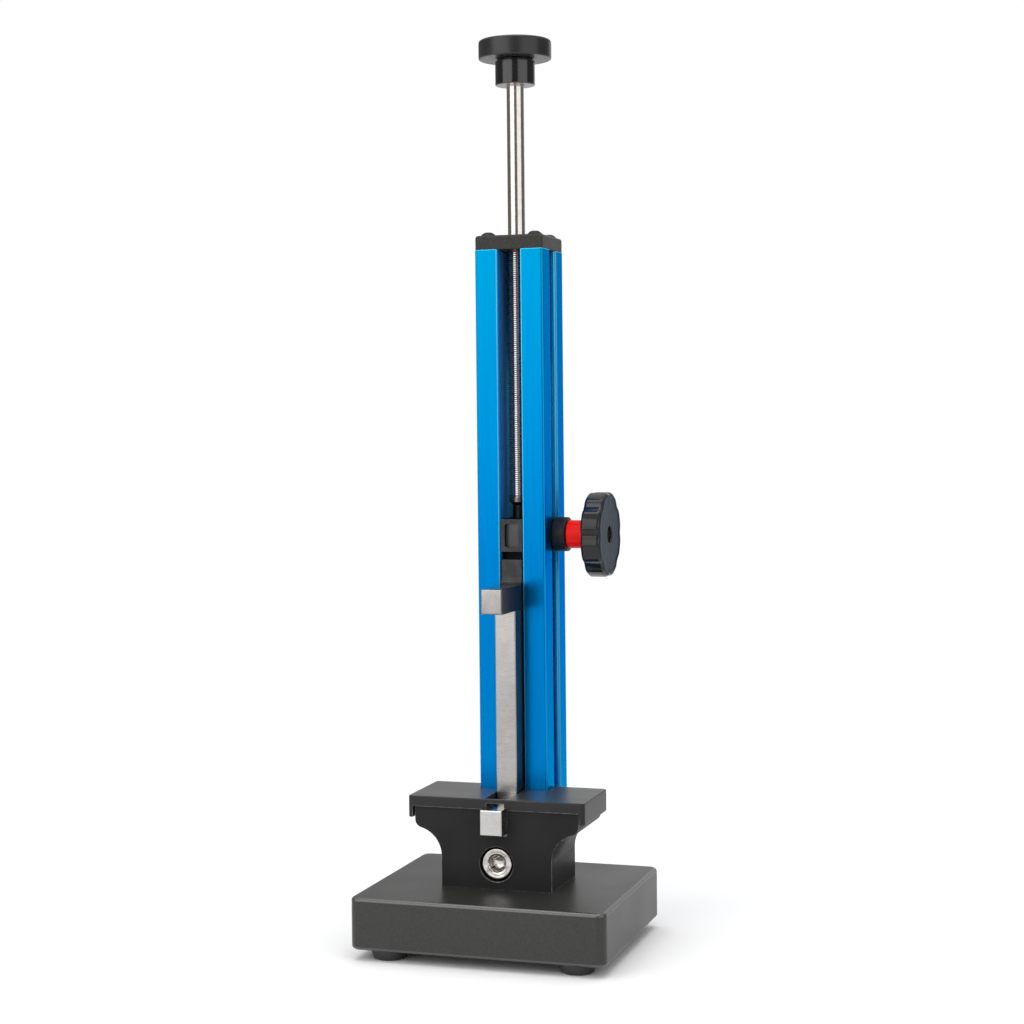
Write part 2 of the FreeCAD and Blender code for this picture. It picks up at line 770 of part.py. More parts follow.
def lock_spacer():
    return lock_ring(spacer_diameter, spacer_start, lock_knob_start - running_clearance, spacer_edge)


def lock_knob():
    radius = lock_knob_diameter / 2
    knob = cross_cylinder(radius, column_y, lock_axis_z, lock_knob_start, lock_knob_end)
    reach = radius - flute_depth + flute_radius
    for i in range(lobe_count):
        angle = 2 * math.pi * i / lobe_count
        knob = knob.cut(cross_cylinder(flute_radius, column_y - reach * math.cos(angle),
                                       lock_axis_z + reach * math.sin(angle),
                                       lock_knob_start, lock_knob_end))
    rim = edges_where(knob, lambda e: e.BoundBox.XLength < 0.001)
    knob = knob.makeFillet(lock_knob_edge, rim)
    insert_start = lock_knob_start
    insert_end = lock_knob_end - lock_bore_depth
    return cut(knob, [cross_cylinder(lock_insert_diameter / 2, column_y, lock_axis_z,
                                     insert_start, insert_end),
                      cross_cylinder(lock_bore_diameter / 2, column_y, lock_axis_z,
                                     insert_end, lock_knob_end)])


def lock_knob_insert():
    end = lock_knob_end - lock_bore_depth
    insert = cross_cylinder(lock_insert_diameter / 2, column_y, lock_axis_z, lock_knob_start, end)
    return insert.cut(cross_cylinder(stud_diameter / 2 + running_clearance, column_y, lock_axis_z,
                                     lock_knob_start, end))


def main():
    os.makedirs("parts", exist_ok=True)
    write("base_plate", [base_plate()])
    write("rubber_feet", rubber_feet())
    write("foot_screws", foot_screws())
    write("pedestal", [pedestal()])
    write("pedestal_screws", pedestal_screws())
    write("column", [column()])
    write("column_screws", column_screws())
    write("clamp_screw", [clamp_screw()])
    write("clamp_nut", [clamp_nut()])
    write("table_plate", [table_plate()])
    write("table_screws", table_screws())
    write("lower_jaw", [lower_jaw()])
    write("jaw_set_screws", jaw_set_screws())
    write("gauge_block", [gauge_block()])
    write("top_cap", [top_cap()])
    write("cap_screws", cap_screws())
    write("rod_bush", [rod_bush()])
    write("lift_rod", [lift_rod()])
    write("spring_seat", [spring_seat()])
    write("lift_spring", [lift_spring()])
    write("lift_knob", [lift_knob()])
    write("lift_knob_insert", [lift_knob_insert()])
    write("carriage", [carriage()])
    write("back_pad", [back_pad()])
    write("carriage_shoe", [carriage_shoe()])
    write("upper_jaw", [upper_jaw()])
    write("upper_jaw_screw", [upper_jaw_screw()])
    write("upper_jaw_pins", upper_jaw_pins())
    write("side_key", [side_key()])
    write("lock_stud", [lock_stud()])
    write("lock_collar", [lock_collar()])
    write("lock_spacer", [lock_spacer()])
    write("lock_knob", [lock_knob()])
    write("lock_knob_insert", [lock_knob_insert()])


main()
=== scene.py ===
"""Looks of a bore gauge setter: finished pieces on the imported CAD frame, and a studio to show them in."""

import math

import bmesh
import bpy
from mathutils import Matrix, Vector


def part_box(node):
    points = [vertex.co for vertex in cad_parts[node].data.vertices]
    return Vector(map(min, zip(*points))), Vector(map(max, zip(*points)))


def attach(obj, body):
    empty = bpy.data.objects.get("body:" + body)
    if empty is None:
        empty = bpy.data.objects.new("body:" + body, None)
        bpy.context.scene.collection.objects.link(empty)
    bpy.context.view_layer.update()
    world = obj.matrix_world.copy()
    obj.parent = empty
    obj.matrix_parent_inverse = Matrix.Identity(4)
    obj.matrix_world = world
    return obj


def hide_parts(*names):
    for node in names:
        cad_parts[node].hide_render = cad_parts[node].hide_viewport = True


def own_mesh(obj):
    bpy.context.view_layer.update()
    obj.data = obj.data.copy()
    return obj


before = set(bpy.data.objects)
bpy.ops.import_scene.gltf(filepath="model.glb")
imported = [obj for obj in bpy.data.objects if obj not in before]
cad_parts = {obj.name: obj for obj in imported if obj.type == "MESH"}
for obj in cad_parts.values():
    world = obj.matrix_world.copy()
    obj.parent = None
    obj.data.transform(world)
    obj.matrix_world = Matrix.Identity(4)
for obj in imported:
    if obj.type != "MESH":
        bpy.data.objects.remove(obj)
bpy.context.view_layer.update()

bl_info = {
    "name": "Bore Gauge Setter",
    "version": (1, 0, 0),
    "blender": (4, 5, 0),
    "location": "3D View > Sidebar > Setter",
    "description": "Builds the finished pieces of a bore gauge setter on its CAD frame",
    "category": "Object",
}

AXES = {"X": (1, 2, 0), "Y": (2, 0, 1), "Z": (0, 1, 2)}
HAIR = 0.0001  # A point this near to a face or an end of a CAD solid, in metres, counts as on it.
FACING = 0.9  # A face whose normal has this much of a direction looks that way.


def middle(node):
    """Middle of a CAD node's box."""
    low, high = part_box(node)
    return (Vector(low) + Vector(high)) / 2


def span(node, axis):
    """Lowest and highest value of a CAD node along one axis."""
    low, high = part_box(node)
    return low["XYZ".index(axis)], high["XYZ".index(axis)]


def points_of(node):
    """Points of a CAD node's mesh at rest."""
    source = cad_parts[node]
    return [source.matrix_world @ vertex.co for vertex in source.data.vertices]


def heights_and_radii(node, axis, centre=None):
    """(place along the axis, distance from the axis) of each point of a CAD node."""
    u, v, along = AXES[axis]
    if centre is None:
        centre = middle(node)
    return [(p[along], math.hypot(p[u] - centre[u], p[v] - centre[v])) for p in points_of(node)]


def rim_radius(node, axis, low=-math.inf, high=math.inf):
    """Largest distance from the node's own axis of its points between two places along that axis."""
    return max(radius for place, radius in heights_and_radii(node, axis) if low <= place <= high)


def soften(corners, closed=True, steps=4):
    """Points of a flat outline whose corners, given as (x, y, radius), are rounded off."""
    points = []
    count = len(corners)
    for i, (x, y, radius) in enumerate(corners):
        here = Vector((x, y))
        if radius <= 0 or (not closed and i in (0, count - 1)):
            points.append(here)
            continue
        before = Vector(corners[i - 1][:2]) - here
        after = Vector(corners[(i + 1) % count][:2]) - here
        reach = min(radius / math.tan(before.angle(after) / 2), before.length * 0.49, after.length * 0.49)
        start = here + before.normalized() * reach
        end = here + after.normalized() * reach
        for k in range(steps + 1):
            t = k / steps
            points.append((1 - t) ** 2 * start + 2 * t * (1 - t) * here + t * t * end)
    return points


def bridge(bm, ring, other):
    """Faces between two rings of points; a ring of one point is a pole."""
    count = max(len(ring), len(other))
    for i in range(count):
        corners = []
        for point in (ring[i % len(ring)], ring[(i + 1) % len(ring)],
                      other[(i + 1) % len(other)], other[i % len(other)]):
            if point not in corners:
                corners.append(point)
        if len(corners) > 2:
            bm.faces.new(corners)


def turn(bm, profile, centre, axis, steps):
    """Adds a closed solid turned about an axis, from (radius, place along the axis) points.

    A radius may be a function of the angle, which gives a ring that isn't round."""
    u, v, along = AXES[axis]
    rings = []
    for radius, place in profile:
        ring = []
        pole = not callable(radius) and radius < 1e-7
        for i in range(1 if pole else steps):
            angle = 2 * math.pi * i / steps
            reach = radius(angle) if callable(radius) else radius
            point = [0.0, 0.0, 0.0]
            point[u] = centre[u] + reach * math.cos(angle)
            point[v] = centre[v] + reach * math.sin(angle)
            point[along] = place
            ring.append(bm.verts.new(point))
        rings.append(ring)
    for i, ring in enumerate(rings):
        other = rings[(i + 1) % len(rings)]
        if len(ring) > 1 or len(other) > 1:
            bridge(bm, ring, other)


def cad_copy(node):
    """Clean copy of a CAD node: its seams are welded and each flat area becomes one face."""
    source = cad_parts[node]
    bm = bmesh.new()
    bm.from_mesh(source.data)
    bm.transform(source.matrix_world)
    bmesh.ops.remove_doubles(bm, verts=bm.verts, dist=2e-6)
    bmesh.ops.dissolve_limit(bm, angle_limit=math.radians(0.8), verts=bm.verts, edges=bm.edges,
                             delimit={"NORMAL"})
    return bm


def finish_faces(bm, index, chosen):
    """Gives the chosen faces another of their piece's finishes, by its index."""
    for face in bm.faces:
        if chosen(face):
            face.material_index = index


def place_piece(bm, name, body, nodes, finishes, edge=0.0, edge_wear_and_highlight=False):
    """Turns the mesh into a piece that rides on a body and stands for its CAD nodes.

    Its edges are broken by a small bevel, which takes the last finish where the edge has one of its own:
    wear on some pieces, a painted highlight on others."""
    bmesh.ops.recalc_face_normals(bm, faces=bm.faces)
    for face in bm.faces:
        face.smooth = True
    mesh = bpy.data.meshes.new(name)
    bm.to_mesh(mesh)
    bm.free()
    piece = bpy.data.objects.new(name, mesh)
    bpy.context.scene.collection.objects.link(piece)
    for finish in finishes:
        mesh.materials.append(finish)
    if edge > 0:
        bevel = piece.modifiers.new("Edge break", "BEVEL")
        bevel.width = edge
        bevel.segments = 2
        bevel.limit_method = "ANGLE"
        bevel.angle_limit = math.radians(32.0)
        bevel.use_clamp_overlap = False
        bevel.miter_outer = "MITER_ARC"
        bevel.material = len(finishes) - 1 if edge_wear_and_highlight else -1
    normals = piece.modifiers.new("Flat faces stay flat", "WEIGHTED_NORMAL")
    normals.keep_sharp = True
    normals.weight = 100
    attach(piece, body)
    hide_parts(*nodes)
    return piece


class Recipe:
    """Node tree of one finish. Lengths in it are in metres, measured on the object."""

    def __init__(self, name, roughness, metallic=0.0, shine=0.5, glance=(1.0, 1.0, 1.0)):
        self.material = bpy.data.materials.new(name)
        self.material.use_nodes = True
        self.tree = self.material.node_tree
        self.shader = self.tree.nodes["Principled BSDF"]
        self.shader.inputs["Roughness"].default_value = roughness
        self.shader.inputs["Metallic"].default_value = metallic
        self.shader.inputs["Specular IOR Level"].default_value = shine
        self.shader.inputs["Specular Tint"].default_value = (*glance, 1.0)
        self.where = self.tree.nodes.new("ShaderNodeTexCoord").outputs["Object"]

    def link(self, output, node, name):
        """Joins an output to the named input of a node."""
        self.tree.links.new(output, node.inputs[name])

    def noise(self, size, detail=2.0, stretch=(1.0, 1.0, 1.0), roughness=0.5):
        """Noise whose grains are about this size, drawn out along an axis by its stretch."""
        mapping = self.tree.nodes.new("ShaderNodeMapping")
        mapping.inputs["Scale"].default_value = [1 / (size * s) for s in stretch]
        self.link(self.where, mapping, "Vector")
        noise = self.tree.nodes.new("ShaderNodeTexNoise")
        noise.inputs["Scale"].default_value = 1.0
        noise.inputs["Detail"].default_value = detail
        noise.inputs["Roughness"].default_value = roughness
        self.link(mapping.outputs["Vector"], noise, "Vector")
        return noise.outputs["Fac"]

    def height(self, low, high):
        """Factor that rises from 0 to 1 between two heights."""
        split = self.tree.nodes.new("ShaderNodeSeparateXYZ")
        self.link(self.where, split, "Vector")
        rise = self.tree.nodes.new("ShaderNodeMapRange")
        rise.inputs["From Min"].default_value = low
        rise.inputs["From Max"].default_value = high
        self.link(split.outputs["Z"], rise, "Value")
        return rise.outputs["Result"]

    def colour(self, factor, low, high, start=0.3, end=0.7, middle=None):
        """Base colour from low to high, by way of middle, as the factor goes from start to end."""
        if middle is None:
            middle = (Vector(low) + Vector(high)) / 2
        ramp = self.tree.nodes.new("ShaderNodeValToRGB")
        stops = [(start, low), ((start + end) / 2, middle), (end, high)]
        ramp.color_ramp.elements.new(stops[1][0])
        for element, (place, tint) in zip(ramp.color_ramp.elements, stops):
            element.position = place
            element.color = (*tint, 1.0)
        self.link(factor, ramp, "Fac")
        self.link(ramp.outputs["Color"], self.shader, "Base Color")

    def roughness(self, factor, low, high, start=0.3, end=0.7):
        """Roughness that runs from low to high as the factor goes from start to end."""
        levels = self.tree.nodes.new("ShaderNodeMapRange")
        levels.inputs["From Min"].default_value = start
        levels.inputs["From Max"].default_value = end
        levels.inputs["To Min"].default_value = low
        levels.inputs["To Max"].default_value = high
        self.link(factor, levels, "Value")
        self.link(levels.outputs["Result"], self.shader, "Roughness")

    def bump(self, heights, strength=1.0):
        """Relief from several (factor, depth) pairs, one on top of the other."""
        last = None
        for factor, depth in heights:
            bump = self.tree.nodes.new("ShaderNodeBump")
            bump.inputs["Strength"].default_value = strength
            bump.inputs["Distance"].default_value = depth
            self.link(factor, bump, "Height")
            if last is not None:
                self.link(last, bump, "Normal")
            last = bump.outputs["Normal"]
        self.link(last, self.shader, "Normal")


def coated(name, low, high, grain, depth, roughness, shine):
    """Powder coat: fine even grain, with a slow change of tone over the surface."""
    finish = Recipe(name, roughness, shine=shine)
    fine = finish.noise(grain, 3.0)
    slow = finish.noise(0.03, 2.0)
    finish.colour(finish.noise(grain * 1.4, 5.0, roughness=0.7), low, high, 0.36, 0.64)
    finish.roughness(slow, roughness - 0.02, roughness + 0.03)
    finish.bump([(fine, depth), (finish.noise(grain * 4, 2.0), depth * 0.8)])
    return finish.material


def anodised(name, low, high, roughness, along, metallic=0.0, shine=0.5, glance=(1.0, 1.0, 1.0),
             rise=None, middle=None):
    """Anodised metal with faint drawing lines along one axis; its tone drifts, or changes over a rise."""
    finish = Recipe(name, roughness, metallic, shine, glance)
    stretch = [1.0, 1.0, 1.0]
    stretch["XYZ".index(along)] = 140.0
    lines = finish.noise(0.00022, 3.0, stretch)
    if rise:
        finish.colour(finish.height(*rise), low, high, 0.0, 1.0, middle)
    else:
        finish.colour(finish.noise(0.02, 2.0), low, high, 0.25, 0.75)
    finish.roughness(lines, roughness - 0.05, roughness + 0.07)
    finish.bump([(lines, 0.000012), (finish.noise(0.0003, 2.0), 0.000006)])
    return finish.material


def steel(name, low, high, roughness, along, line=0.00016, depth=0.000008, stretch_by=90.0):
    """Bright or dark steel with grinding or turning marks drawn out along one axis."""
    finish = Recipe(name, roughness, 1.0)
    stretch = [1.0, 1.0, 1.0]
    stretch["XYZ".index(along)] = stretch_by
    lines = finish.noise(line, 4.0, stretch, 0.6)
    stains = finish.noise(0.0045, 5.0, (1.0, 1.0, 1.6), 0.6)
    finish.colour(stains, low, high, 0.32, 0.68)
    finish.roughness(lines, roughness - 0.07, roughness + 0.1)
    finish.bump([(lines, depth)])
    return finish.material


def turned_steel(name, low, high, roughness, axis, line=0.00012, depth=0.000005):
    """Steel with fine rings round the turning axis."""
    finish = Recipe(name, roughness, 1.0)
    stretch = [60.0, 60.0, 60.0]
    stretch["XYZ".index(axis)] = 1.0
    rings = finish.noise(line, 3.0, stretch)
    finish.colour(finish.noise(0.003, 3.0), low, high)
    finish.roughness(rings, roughness - 0.04, roughness + 0.06)
    finish.bump([(rings, depth)])
    return finish.material


def moulded(name, low, high, roughness, grain, depth, shine=0.5):
    """Moulded plastic or rubber with the texture of its mould."""
    finish = Recipe(name, roughness, shine=shine)
    fine = finish.noise(grain, 2.0)
    slow = finish.noise(0.006, 4.0)
    finish.colour(slow, low, high)
    finish.roughness(fine, roughness - 0.05, roughness + 0.08)
    finish.bump([(fine, depth), (slow, depth * 3)])
    return finish.material


def worn(name, base, bright, roughness, metallic):
    """Edge where the finish is thin: mostly its own colour, rubbed brighter in patches, which where they are
    set bright also serve as a painted highlight.
    """
    finish = Recipe(name, roughness, metallic)
    patches = finish.noise(0.0016, 5.0, (1.0, 1.0, 3.0), 0.65)
    finish.colour(patches, base, bright, 0.35, 0.72)
    finish.roughness(finish.noise(0.0004, 3.0), roughness - 0.08, roughness + 0.08)
    finish.bump([(finish.noise(0.0003, 3.0), 0.00001)])
    return finish.material


class SetterFinish(bpy.types.PropertyGroup):
    """Finishes and edge sizes that the pieces share."""

    # Painted light: the column's blue is set lighter at the foot and at the top than halfway up, standing in
    # for how the light falls along it.
    column_foot_tint_painted_light: bpy.props.FloatVectorProperty(
        name="Column tint", description="Colour of the anodised column at its foot", subtype="COLOR",
        size=3, min=0.0, max=1.0, default=(0.0, 0.2, 0.56))
    column_middle_tint_painted_light: bpy.props.FloatVectorProperty(
        name="Column middle tint", description="Colour of the anodised column halfway up", subtype="COLOR",
        size=3, min=0.0, max=1.0, default=(0.0, 0.158, 0.44))
    column_top_tint_painted_light: bpy.props.FloatVectorProperty(
        name="Column top tint", description="Colour of the anodised column at its top", subtype="COLOR",
        size=3, min=0.0, max=1.0, default=(0.0, 0.232, 0.46))
    spacer_tint: bpy.props.FloatVectorProperty(
        name="Spacer tint", description="Colour of the lock's spacer", subtype="COLOR",
        size=3, min=0.0, max=1.0, default=(0.97, 0.012, 0.01))
    coat_tint: bpy.props.FloatVectorProperty(
        name="Coat tint", description="Colour of the powder coat on the base and cap", subtype="COLOR",
        size=3, min=0.0, max=1.0, default=(0.025, 0.0245, 0.023))
    coat_grain: bpy.props.FloatProperty(
        name="Coat grain", description="Size of the grains in the powder coat", unit="LENGTH",
        min=0.0001, max=0.002, default=0.0004, precision=5)
    edge_break: bpy.props.FloatProperty(
        name="Edge break", description="Width of the broken edges on machined pieces", unit="LENGTH",
        min=0.00002, max=0.001, default=0.00018, precision=5)
    slot_chamfer: bpy.props.FloatProperty(
        name="Slot chamfer", description="Width of the chamfers along the column's front slot",
        unit="LENGTH", min=0.0002, max=0.0012, default=0.0003, precision=5)
    round_steps: bpy.props.IntProperty(
        name="Round steps", description="Facets round a turned piece", min=24, max=256, default=96)


class SetterLift(bpy.types.PropertyGroup):
    """Sizes of the spring and of the lock knob."""

    spring_wire: bpy.props.FloatProperty(
        name="Spring wire", description="Diameter of the spring's wire", unit="LENGTH",
        min=0.0002, max=0.001, default=0.00037, precision=5)
    spring_turns: bpy.props.IntProperty(
        name="Spring turns", description="Coils of the spring, its closed ends included",
        min=20, max=200, default=120)
    end_turns: bpy.props.FloatProperty(
        name="Closed turns", description="Coils that touch at each end of the spring",
        min=0.0, max=5.0, default=1.5)
    lobes: bpy.props.IntProperty(
        name="Lobes", description="Finger lobes round the lock knob", min=3, max=16, default=8)
    flute_radius: bpy.props.FloatProperty(
        name="Flute radius", description="Radius of the hollows between the lobes", unit="LENGTH",
        min=0.001, max=0.03, default=0.008, precision=4)
    flute_depth: bpy.props.FloatProperty(
        name="Flute depth", description="How deep each hollow goes into the knob", unit="LENGTH",
        min=0.0, max=0.006, default=0.00095, precision=5)
    rim_round: bpy.props.FloatProperty(
        name="Rim rounding", description="Radius on the lock knob's rim", unit="LENGTH",
        min=0.0002, max=0.003, default=0.0016, precision=4)


class SetterStage(bpy.types.PropertyGroup):
    """Camera and lights."""

    camera_place: bpy.props.FloatVectorProperty(
        name="Camera place", description="Where the camera stands", subtype="TRANSLATION",
        unit="LENGTH", size=3, default=(0.2605, -0.8025, 0.2189))
    azimuth: bpy.props.FloatProperty(
        name="Azimuth", description="How far round to the right the camera stands", unit="ROTATION",
        default=math.radians(18.04))
    pitch: bpy.props.FloatProperty(
        name="Pitch", description="How far the camera looks down", unit="ROTATION",
        default=math.radians(1.72))
    roll: bpy.props.FloatProperty(
        name="Roll", description="How far the camera leans", unit="ROTATION",
        default=math.radians(0.58))
    lens: bpy.props.FloatProperty(
        name="Lens", description="Focal length for a 36 mm wide picture", unit="CAMERA",
        min=10.0, max=300.0, default=70.97)
    shift: bpy.props.FloatVectorProperty(
        name="Shift", description="Lens shift as a share of the picture's width", subtype="COORDINATES",
        size=2, default=(0.0094, -0.0281))
    key_power: bpy.props.FloatProperty(
        name="Key light", description="Power of the large light at the left", unit="POWER",
        min=0.0, max=200.0, default=9.5)
    fill_power: bpy.props.FloatProperty(
        name="Fill light", description="Power of the light at the right", unit="POWER",
        min=0.0, max=200.0, default=3.3)
    top_power: bpy.props.FloatProperty(
        name="Top light", description="Power of the light overhead", unit="POWER",
        min=0.0, max=200.0, default=9.0)
    sky: bpy.props.FloatProperty(
        name="Surround", description="Brightness of the studio's ceiling and backdrop",
        min=0.0, max=5.0, default=1.0)


def black_anodised(name, along, shine, level=0.009):
    """Black anodised metal of the pedestal and table."""
    return anodised(name, [level] * 3, [level * 1.45] * 3, 0.36, along, shine=shine)


def black_edge_wear_and_highlight(name):
    """Edge of the black anodised pieces: worn, and brighter than wear alone as a painted highlight along the
    edges.
    """
    return worn(name, (0.035, 0.035, 0.036), (0.22, 0.22, 0.22), 0.3, 0.4)


def black_oxide(name, along="Z"):
    """Dark steel of the fasteners."""
    return steel(name, (0.024, 0.024, 0.025), (0.042, 0.042, 0.043), 0.45, along)


def light_oxide(name, along):
    """Paler black oxide of the jaw's upright and the shoe."""
    return steel(name, (0.034, 0.034, 0.034), (0.06, 0.06, 0.06), 0.42, along)


def bright_steel(name, axis="Z"):
    """Plain turned steel of the pins and the stud."""
    return turned_steel(name, (0.42, 0.4, 0.38), (0.6, 0.58, 0.55), 0.16, axis)


def bronze(name, axis="Z"):
    """Turned bronze of the bush and the inserts."""
    return turned_steel(name, (0.5, 0.32, 0.13), (0.6, 0.42, 0.2), 0.34, axis)


def powder_coat(name, tint, grain, shine):
    """Coat of the base and the cap, whose grains are a little darker and lighter than its tint."""
    tint = Vector(tint)
    return coated(name, tint * 0.75, tint * 1.3, grain, 0.000028, 0.35, shine)


class SETTER_OT_base(bpy.types.Operator):
    """Builds the base plate, its rubber feet and the screws that go in from below"""
    bl_idname = "setter.base"
    bl_label = "Base"

    def execute(self, context):
        look = context.scene.setter_finish
        coat = powder_coat("Base powder coat", look.coat_tint, look.coat_grain, 0.42)
        # Painted highlight: the fillet faces get a lighter, glossier copy of the coat, for the highlight
        # along the edges.
        gloss = coated("Base edge coat painted highlight", (0.026, 0.0255, 0.024), (0.04, 0.039, 0.037), look.coat_grain,
                       0.000008, 0.22, 1.0)
        casting = cad_copy("base_plate")
        finish_faces(casting, 1, lambda face: 0.15 < abs(face.normal.z) < 0.99)
        place_piece(casting, "Base_casting", "stand", ["base_plate"], [coat, gloss], look.edge_break)
        rubber = moulded("Rubber", (0.016, 0.017, 0.018), (0.026, 0.027, 0.028), 0.4, 0.0003, 0.00002)
        place_piece(self.feet(look.round_steps), "Rubber_feet", "stand", ["rubber_feet"], [rubber])
        oxide = black_oxide("Screw black oxide")
        for node in ("foot_screws", "pedestal_screws", "column_screws", "table_screws"):
            place_piece(cad_copy(node), node.capitalize(), "stand", [node], [oxide], look.edge_break * 0.6)
        return {"FINISHED"}

    @staticmethod
    def feet(steps):
        """Four feet that taper to a rounded tread, each with a hole and a recess for its screw."""
        right, back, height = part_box("rubber_feet")[1]
        inner = min(p.x for p in points_of("rubber_feet") if p.x > 0)
        radius = (right - inner) / 2
        hole, recess, recess_depth, taper = 0.0015, 0.0031, 0.0036, 0.0011
        profile = soften([(hole, height, 0), (hole, recess_depth, 0), (recess, recess_depth, 0),
                          (recess, 0.0, 0.0003), (radius - taper, 0.0, 0.0014),
                          (radius, height * 0.8, 0.0012), (radius, height, 0.0002)])
        bm = bmesh.new()
        for side in (-1, 1):
            for end in (-1, 1):
                centre = Vector((side * (right - radius), end * (back - radius), 0))
                turn(bm, profile, centre, "Z", steps)
        return bm


class SETTER_OT_pedestal(bpy.types.Operator):
    """Builds the pedestal, the table plate over it and the clamp screw with its nut"""
    bl_idname = "setter.pedestal"
    bl_label = "Pedestal and table"

    def execute(self, context):
        look = context.scene.setter_finish
        # Wear and painted highlight on the bevelled edges of the pedestal and table.
        edge = black_edge_wear_and_highlight("Black edge wear and highlight")
        pedestal_black = black_anodised("Pedestal black", "Y", 0.07, 0.018)
        place_piece(cad_copy("pedestal"), "Pedestal", "stand", ["pedestal"], [pedestal_black, edge],
                    look.edge_break * 1.6, True)
        table = cad_copy("table_plate")
        top = span("table_plate", "Z")[1]
        finish_faces(table, 1, lambda face: face.calc_center_median().z > top - HAIR)
        table_black = black_anodised("Table black", "X", 0.34)
        # Painted light: the table's top faces get a lighter copy of the black on its sides.
        table_top_painted_light = black_anodised("Table top black painted light", "X", 1.0, 0.02)
        place_piece(table, "Table_plate", "stand", ["table_plate"], [table_black, table_top_painted_light, edge],
                    look.edge_break * 1.3, True)
        screw = bmesh.new()
        turn(screw, self.screw_profile(), middle("clamp_screw"), "Y", look.round_steps)
        screw_steel = turned_steel("Clamp screw steel", (0.34, 0.32, 0.3), (0.72, 0.7, 0.67), 0.13, "Y",
                                   0.0004, 0.00002)
        place_piece(screw, "Clamp_screw", "stand", ["clamp_screw"], [screw_steel])
        oxide = black_oxide("Nut black oxide")
        for node in ("clamp_nut", "jaw_set_screws"):
            place_piece(cad_copy(node), node.capitalize(), "stand", [node], [oxide], look.edge_break)
        return {"FINISHED"}

    @staticmethod
    def screw_profile():
        """Socket head with a rounded rim and a dished face, and a hexagon with a drilled floor."""
        front, end = span("clamp_screw", "Y")
        points = heights_and_radii("clamp_screw", "Y")
        head = max(radius for _, radius in points)
        shank = max(radius for place, radius in points if place > end - HAIR)
        seat = max(place for place, radius in points if radius > head - HAIR)
        corner = min(radius for _, radius in points)
        floor = max(place for place, radius in points if radius < corner + HAIR / 2)

        def hexagon(angle):
            """Distance from the axis to the hexagon's wall."""
            return corner * math.cos(math.pi / 6) / math.cos(angle % (math.pi / 3) - math.pi / 6)

        body = soften([(0, end, 0), (shank, end, 0.0004), (shank, seat, 0), (head, seat, 0.0003),
                       (head, front, 0.0013), (head * 0.74, front + 0.0003, 0.0003),
                       (corner * 1.12, front + 0.0002, 0)], closed=False)
        socket = [(corner * 1.03, front + 0.0006), (hexagon, front + 0.001), (hexagon, floor - 0.0006),
                  (corner * 0.5, floor), (0, floor)]
        return body + socket


